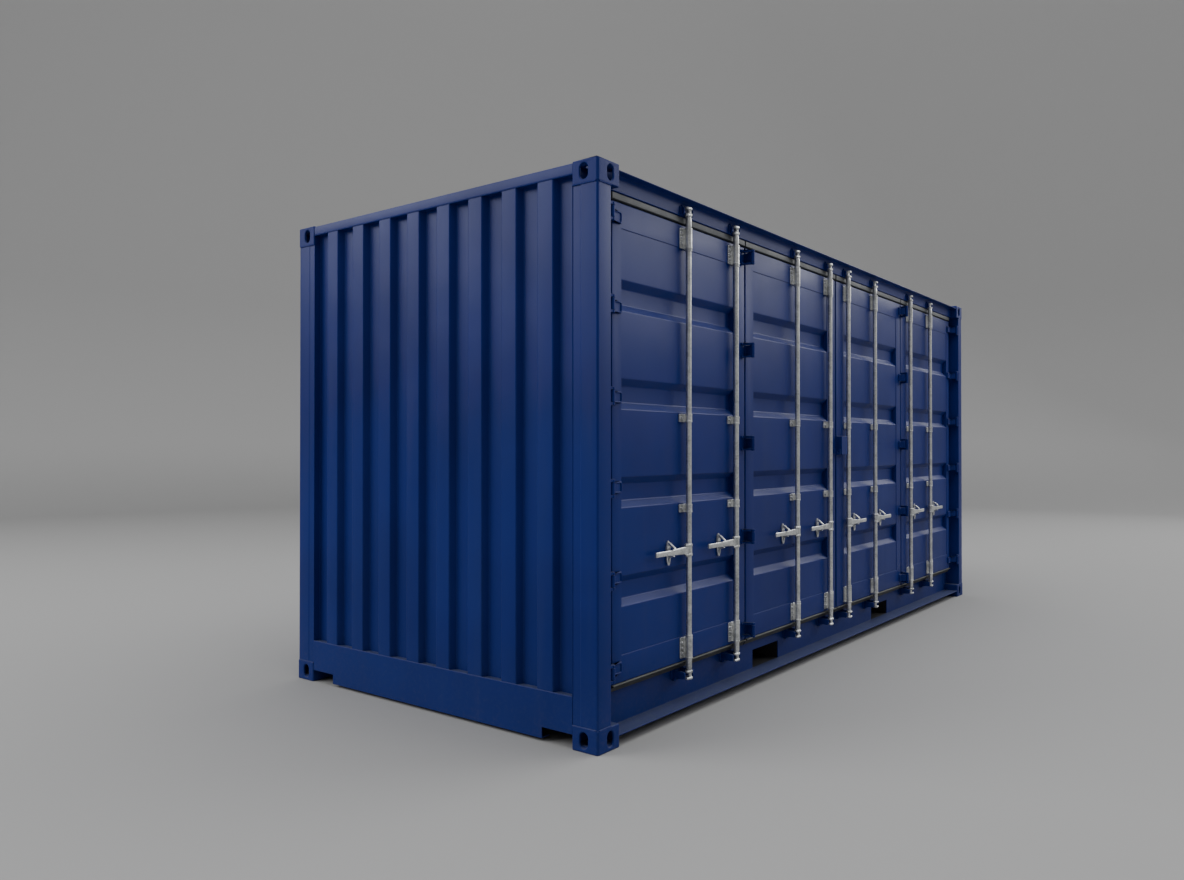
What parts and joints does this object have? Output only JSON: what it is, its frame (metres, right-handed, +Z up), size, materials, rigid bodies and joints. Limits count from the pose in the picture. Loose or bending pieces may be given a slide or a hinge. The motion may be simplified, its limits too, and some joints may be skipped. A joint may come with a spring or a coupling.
{
  "type": "side-opening shipping container",
  "caption": "Steel dry-freight container, high cube, with corrugated walls and a long side that opens as hinged leaves with lock rods.",
  "frame": {"origin": "centre of the footprint, on the ground plane of the bottom corner castings", "axes": "+X along the length, -Y out of the side with the leaves, +Z up"},
  "size_m": [6.058, 2.438, 2.896],
  "materials": {
    "frame_paint": "satin container paint",
    "sheet_paint": "satin container paint",
    "door_paint": "satin container paint",
    "underside_paint": "matt underbody coating",
    "galvanised": "hot-dip galvanised",
    "seal_rubber": "extruded rubber",
    "floor_timber": "plywood boards"
  },
  "bodies": {
    "frame": {"bottom_corner_castings": "frame_paint", "top_corner_castings": "frame_paint", "door_side_posts": "frame_paint", "back_posts": "frame_paint", "door_side_sill": "frame_paint", "back_sill": "frame_paint", "door_side_header": "frame_paint", "back_top_rail": "frame_paint", "end_sills": "frame_paint", "end_headers": "frame_paint", "end_walls": "sheet_paint", "back_wall": "sheet_paint", "roof_panel": "sheet_paint", "floor_panel": "floor_timber", "floor_crossmembers": "underside_paint", "fork_pockets": "underside_paint", "rod_keepers": "frame_paint", "post_hinges": "frame_paint"},
    "door_1": {"door_1_frame": "door_paint", "door_1_panel": "door_paint", "door_1_seal": "seal_rubber", "door_1_hinges": "door_paint", "door_1_fittings": "galvanised"},
    "door_2": {"door_2_frame": "door_paint", "door_2_panel": "door_paint", "door_2_seal": "seal_rubber", "door_2_hinges": "door_paint", "door_2_fittings": "galvanised", "door_2_lock_eye": "door_paint"},
    "door_3": {"door_3_frame": "door_paint", "door_3_panel": "door_paint", "door_3_seal": "seal_rubber", "door_3_hinges": "door_paint", "door_3_fittings": "galvanised", "door_3_lock_box": "door_paint"},
    "door_4": {"door_4_frame": "door_paint", "door_4_panel": "door_paint", "door_4_seal": "seal_rubber", "door_4_hinges": "door_paint", "door_4_fittings": "galvanised"},
    "rod_1": {"lock_rod_1": "galvanised"},
    "rod_2": {"lock_rod_2": "galvanised"},
    "rod_3": {"lock_rod_3": "galvanised"},
    "rod_4": {"lock_rod_4": "galvanised"},
    "rod_5": {"lock_rod_5": "galvanised"},
    "rod_6": {"lock_rod_6": "galvanised"},
    "rod_7": {"lock_rod_7": "galvanised"},
    "rod_8": {"lock_rod_8": "galvanised"}
  },
  "joints": [
    {"name": "door_1_hinge", "type": "hinge", "parent": "frame", "child": "door_1", "pos_m": [-2.89, -1.204, 1.5115], "axis": [0, 0, -1], "range_deg": [0, 180]},
    {"name": "door_2_fold", "type": "hinge", "parent": "door_1", "child": "door_2", "pos_m": [-1.42, -1.204, 1.5115], "axis": [0, 0, 1], "range_deg": [-180, 0]},
    {"name": "door_4_hinge", "type": "hinge", "parent": "frame", "child": "door_4", "pos_m": [2.89, -1.204, 1.5115], "axis": [0, 0, 1], "range_deg": [0, 180]},
    {"name": "door_3_fold", "type": "hinge", "parent": "door_4", "child": "door_3", "pos_m": [1.42, -1.204, 1.5115], "axis": [0, 0, -1], "range_deg": [-180, 0]},
    {"name": "rod_1_turn", "type": "hinge", "parent": "door_1", "child": "rod_1", "pos_m": [-2.137, -1.179, 1.5115], "axis": [0, 0, 1], "range_deg": [0, 90]},
    {"name": "rod_2_turn", "type": "hinge", "parent": "door_1", "child": "rod_2", "pos_m": [-1.589, -1.179, 1.5115], "axis": [0, 0, 1], "range_deg": [0, 90]},
    {"name": "rod_3_turn", "type": "hinge", "parent": "door_2", "child": "rod_3", "pos_m": [-0.728, -1.179, 1.5115], "axis": [0, 0, 1], "range_deg": [0, 90]},
    {"name": "rod_4_turn", "type": "hinge", "parent": "door_2", "child": "rod_4", "pos_m": [-0.172, -1.179, 1.5115], "axis": [0, 0, 1], "range_deg": [0, 90]},
    {"name": "rod_5_turn", "type": "hinge", "parent": "door_3", "child": "rod_5", "pos_m": [0.172, -1.179, 1.5115], "axis": [0, 0, -1], "range_deg": [0, 90]},
    {"name": "rod_6_turn", "type": "hinge", "parent": "door_3", "child": "rod_6", "pos_m": [0.728, -1.179, 1.5115], "axis": [0, 0, -1], "range_deg": [0, 90]},
    {"name": "rod_7_turn", "type": "hinge", "parent": "door_4", "child": "rod_7", "pos_m": [1.589, -1.179, 1.5115], "axis": [0, 0, -1], "range_deg": [0, 90]},
    {"name": "rod_8_turn", "type": "hinge", "parent": "door_4", "child": "rod_8", "pos_m": [2.137, -1.179, 1.5115], "axis": [0, 0, -1], "range_deg": [0, 90]}
  ]
}
